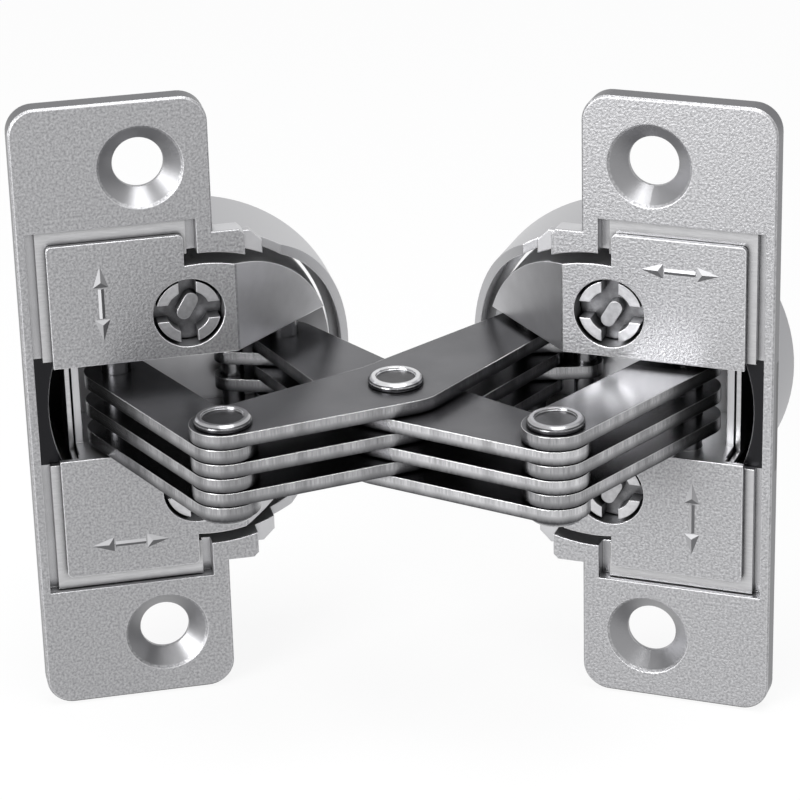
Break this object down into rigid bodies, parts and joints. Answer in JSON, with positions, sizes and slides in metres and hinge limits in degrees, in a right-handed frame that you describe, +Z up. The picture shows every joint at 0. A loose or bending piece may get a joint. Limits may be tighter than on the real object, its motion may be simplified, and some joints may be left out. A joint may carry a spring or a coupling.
{
  "type": "concealed cup hinge",
  "caption": "Concealed hinge with matching cast cups and face plates, joined by a riveted stack of flat links that swings from flat to a right angle.",
  "frame": {"origin": "midway between the left face plate's two screw holes, on the plate's back face, which seats in the panel", "axes": "+X along the left plate towards the other half, +Y into the panel behind the left plate, +Z up along the line of its screws"},
  "size_m": [0.0794, 0.0435, 0.066],
  "materials": {
    "cast_housing": "nickel-plated zinc casting, finely textured",
    "cast_carriage": "nickel-plated zinc casting, finely textured",
    "slide_frame": "smooth nickel plate",
    "link_steel": "plated steel sheet with bright sheared edges",
    "spacer_steel": "plated steel sheet",
    "rivet_steel": "bright plate",
    "pin_steel": "drawn steel",
    "screw_steel": "nickel plate"
  },
  "bodies": {
    "left_housing": {"left_housing": "cast_housing"},
    "left_slide": {"left_slide_frame": "slide_frame"},
    "left_carriage": {"left_carriage": "cast_carriage", "left_arm_pin": "pin_steel", "left_link_pin": "pin_steel", "left_tie_pin": "pin_steel", "left_spacer_1": "spacer_steel", "left_spacer_2": "spacer_steel"},
    "left_height_screw": {"left_height_screw": "screw_steel"},
    "left_side_screw": {"left_side_screw": "screw_steel"},
    "arm_b": {"arm_b_leaf_1": "link_steel", "arm_b_leaf_2": "link_steel", "arm_b_leaf_3": "link_steel", "centre_rivet": "rivet_steel", "right_elbow_rivet": "rivet_steel"},
    "left_links": {"left_link_leaf_1": "link_steel", "left_link_leaf_2": "link_steel", "left_link_leaf_3": "link_steel"},
    "arm_a": {"arm_a_leaf_1": "link_steel", "arm_a_leaf_2": "link_steel", "arm_a_leaf_3": "link_steel", "left_elbow_rivet": "rivet_steel"},
    "right_carriage": {"right_carriage": "cast_carriage", "right_arm_pin": "pin_steel", "right_link_pin": "pin_steel", "right_tie_pin": "pin_steel", "right_spacer_1": "spacer_steel", "right_spacer_2": "spacer_steel"},
    "right_links": {"right_link_leaf_1": "link_steel", "right_link_leaf_2": "link_steel", "right_link_leaf_3": "link_steel"},
    "right_height_screw": {"right_height_screw": "screw_steel"},
    "right_side_screw": {"right_side_screw": "screw_steel"},
    "right_slide": {"right_slide_frame": "slide_frame"},
    "right_housing": {"right_housing": "cast_housing"}
  },
  "joints": [
    {"name": "left_side_adjust", "type": "slide", "parent": "left_housing", "child": "left_slide", "axis": [1, 0, 0], "range_m": [-0.0007, 0.0007]},
    {"name": "left_height_adjust", "type": "slide", "parent": "left_slide", "child": "left_carriage", "axis": [0, 0, 1], "range_m": [-0.0007, 0.0007]},
    {"name": "left_height_screw_turn", "type": "hinge", "parent": "left_carriage", "child": "left_height_screw", "pos_m": [0.00415, -0.0022, 0.0099], "axis": [0, 1, 0], "range_deg": [-60, 60]},
    {"name": "left_side_screw_turn", "type": "hinge", "parent": "left_carriage", "child": "left_side_screw", "pos_m": [0.00415, -0.0022, -0.0099], "axis": [0, 1, 0], "range_deg": [-60, 60]},
    {"name": "fold", "type": "hinge", "parent": "left_carriage", "child": "arm_b", "pos_m": [0.0153, 0.0067, 0], "axis": [0, 0, 1], "range_deg": [-58.1, 31.9]},
    {"name": "left_links_turn", "type": "hinge", "parent": "left_carriage", "child": "left_links", "pos_m": [-0.00323, 0.00132, 0], "axis": [0, 0, 1], "range_deg": [-58.11, 31.91]},
    {"name": "arms_cross", "type": "hinge", "parent": "arm_b", "child": "arm_a", "pos_m": [0.02321, -0.01318, 0], "axis": [0, 0, 1], "range_deg": [-31.91, 58.11]},
    {"name": "right_cup_turn", "type": "hinge", "parent": "arm_a", "child": "right_carriage", "pos_m": [0.04044, -0.00048, 0], "axis": [0, 0, 1], "range_deg": [-58.11, 31.91]},
    {"name": "right_links_turn", "type": "hinge", "parent": "right_carriage", "child": "right_links", "pos_m": [0.05333, -0.01485, 0], "axis": [0, 0, 1], "range_deg": [-31.91, 58.11]},
    {"name": "right_height_adjust", "type": "slide", "parent": "right_carriage", "child": "right_slide", "axis": [0, 0, 1], "range_m": [-0.0007, 0.0007]},
    {"name": "right_side_adjust", "type": "slide", "parent": "right_slide", "child": "right_housing", "axis": [-0.849, 0.5284, 0], "range_m": [-0.0007, 0.0007]},
    {"name": "right_height_screw_turn", "type": "hinge", "parent": "right_carriage", "child": "right_height_screw", "pos_m": [0.0452, -0.01393, -0.0099], "axis": [0.5284, 0.849, 0], "range_deg": [-60, 60]},
    {"name": "right_side_screw_turn", "type": "hinge", "parent": "right_carriage", "child": "right_side_screw", "pos_m": [0.0452, -0.01393, 0.0099], "axis": [0.5284, 0.849, 0], "range_deg": [-60, 60]}
  ],
  "couplings": [
    {"joint": "left_links_turn", "follows": "fold", "ratio": 1},
    {"joint": "arms_cross", "follows": "fold", "ratio": -1},
    {"joint": "right_cup_turn", "follows": "fold", "ratio": 1},
    {"joint": "right_links_turn", "follows": "fold", "ratio": -1}
  ]
}
